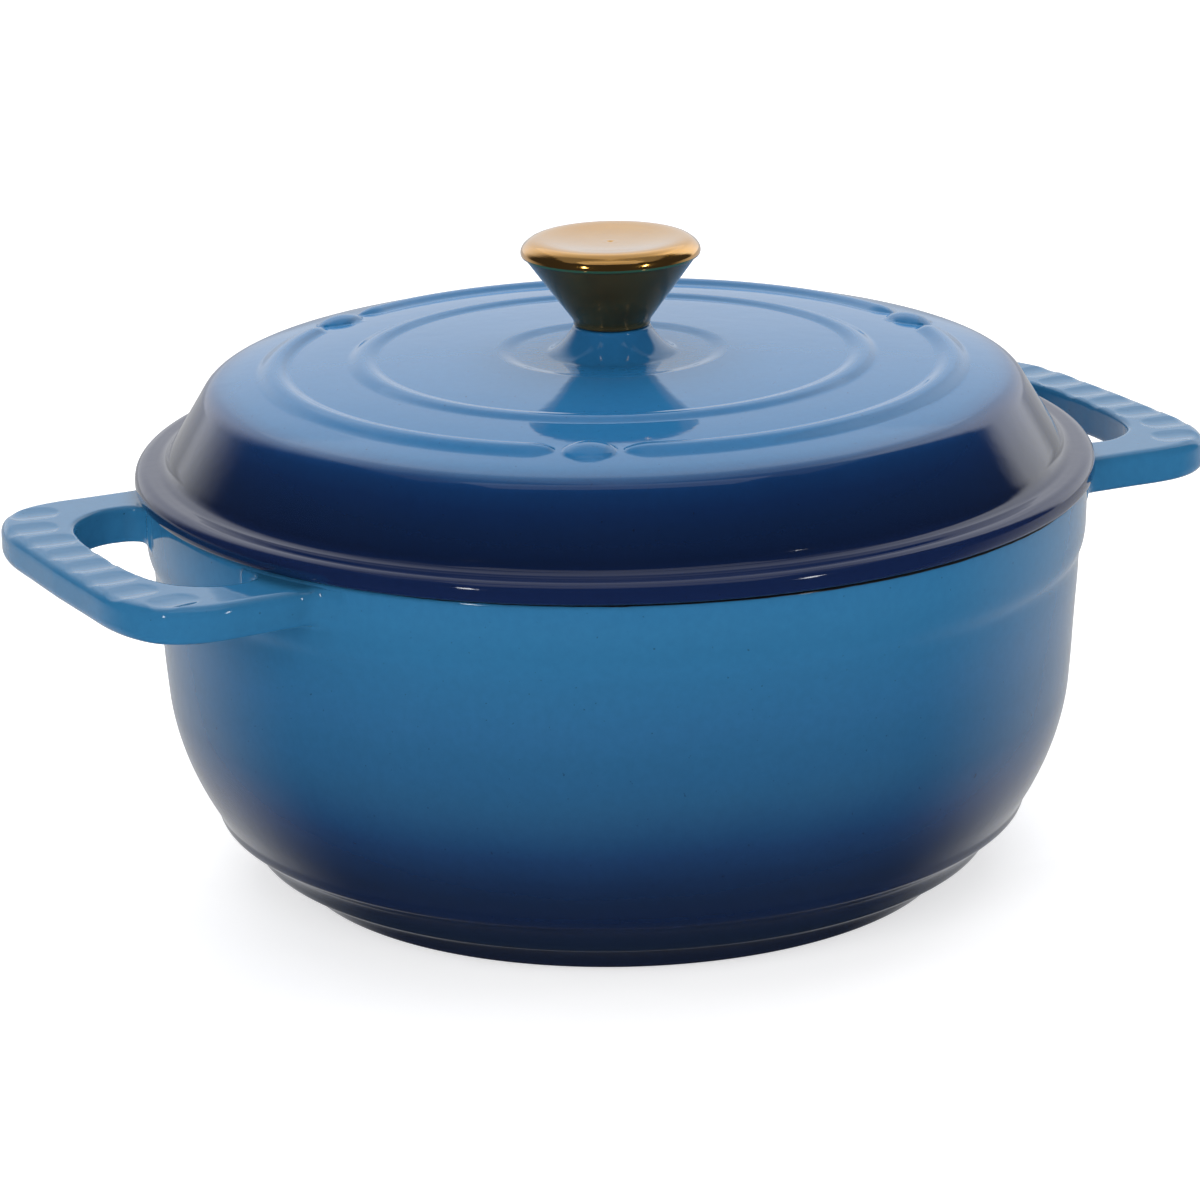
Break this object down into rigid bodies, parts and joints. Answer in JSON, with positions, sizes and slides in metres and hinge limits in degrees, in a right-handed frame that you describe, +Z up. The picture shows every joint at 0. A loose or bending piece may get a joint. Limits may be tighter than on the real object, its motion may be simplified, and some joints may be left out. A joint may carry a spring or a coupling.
{
  "type": "dutch oven",
  "caption": "Round enamelled cast iron dutch oven with loop side handles and a domed lid with a raised bead, lifted by a metal knob.",
  "frame": {"origin": "centre of the flat that the pot stands on", "axes": "+Z up, the two handles point along -X and +X"},
  "size_m": [0.3476, 0.275, 0.1853],
  "materials": {
    "pot_enamel": "glossy enamel, light blue at the rim fading to navy at the foot",
    "lid_enamel": "glossy enamel, light blue in the middle fading to navy at the edge",
    "gasket_black": "matte black",
    "knob_gold": "polished steel, gold coloured coating",
    "knob_cone_gold": "polished steel, gold coloured coating",
    "zinc_steel": "satin zinc plate"
  },
  "bodies": {
    "pot": {"pot_body": "pot_enamel"},
    "lid_assembly": {"lid": "lid_enamel", "knob_gasket": "gasket_black", "knob_cone": "knob_cone_gold", "knob_cap": "knob_gold", "knob_bush": "zinc_steel", "flat_washer": "zinc_steel", "lock_washer": "zinc_steel", "knob_screw": "zinc_steel"}
  },
  "joints": [
    {"name": "lid_lift", "type": "slide", "parent": "pot", "child": "lid_assembly", "axis": [0, 0, 1], "range_m": [0, 0.2]}
  ]
}
